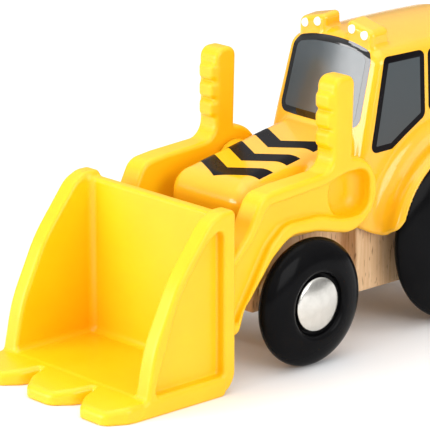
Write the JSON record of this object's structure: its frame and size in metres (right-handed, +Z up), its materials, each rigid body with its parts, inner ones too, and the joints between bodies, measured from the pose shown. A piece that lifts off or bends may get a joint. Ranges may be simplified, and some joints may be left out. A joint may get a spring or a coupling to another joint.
{
  "type": "toy front loader",
  "caption": "Small push-along toy wheel loader: wooden chassis, moulded cab shell, toothed bucket on hinged side arms with hand grips, rolling wheels.",
  "frame": {"origin": "middle of the toy's length and width, on the ground the wheels stand on", "axes": "+X points forward to the bucket teeth, +Y to the driver's left, +Z up"},
  "size_m": [0.1238, 0.047, 0.0653],
  "materials": {
    "beech": "sanded beech with a clear matt lacquer",
    "shell_plastic": "warm orange-yellow gloss",
    "loader_plastic": "lemon yellow semi-gloss",
    "wheel_plastic": "black gloss",
    "cap_metal": "polished nickel plate",
    "axle_steel": "drawn steel wire",
    "nylon": "natural nylon",
    "screw_zinc": "bright zinc plate"
  },
  "bodies": {
    "chassis": {"chassis_block": "beech", "body_shell": "shell_plastic", "front_axle": "axle_steel", "rear_axle": "axle_steel", "front_bush_left": "nylon", "front_bush_right": "nylon", "rear_bush_left": "nylon", "rear_bush_right": "nylon", "front_hub_cap_left": "cap_metal", "front_hub_cap_right": "cap_metal", "rear_hub_cap_left": "cap_metal", "rear_hub_cap_right": "cap_metal", "shell_screw_front": "screw_zinc", "shell_screw_rear": "screw_zinc"},
    "loader": {"bucket": "loader_plastic", "loader_arm_left": "loader_plastic", "loader_arm_right": "loader_plastic"},
    "wheel_front_left": {"front_wheel_left": "wheel_plastic"},
    "wheel_front_right": {"front_wheel_right": "wheel_plastic"},
    "wheel_rear_left": {"rear_wheel_left": "wheel_plastic"},
    "wheel_rear_right": {"rear_wheel_right": "wheel_plastic"}
  },
  "joints": [
    {"name": "loader_lift", "type": "hinge", "parent": "chassis", "child": "loader", "pos_m": [-0.00501, 0, 0.0341], "axis": [0, -1, 0], "range_deg": [0, 75]},
    {"name": "front_left_spin", "type": "hinge", "parent": "chassis", "child": "wheel_front_left", "pos_m": [0.00579, 0.0197, 0.0135], "axis": [0, 1, 0], "continuous": true},
    {"name": "front_right_spin", "type": "hinge", "parent": "chassis", "child": "wheel_front_right", "pos_m": [0.00579, -0.0197, 0.0135], "axis": [0, 1, 0], "continuous": true},
    {"name": "rear_left_spin", "type": "hinge", "parent": "chassis", "child": "wheel_rear_left", "pos_m": [-0.04021, 0.0182, 0.0192], "axis": [0, 1, 0], "continuous": true},
    {"name": "rear_right_spin", "type": "hinge", "parent": "chassis", "child": "wheel_rear_right", "pos_m": [-0.04021, -0.0182, 0.0192], "axis": [0, 1, 0], "continuous": true}
  ]
}
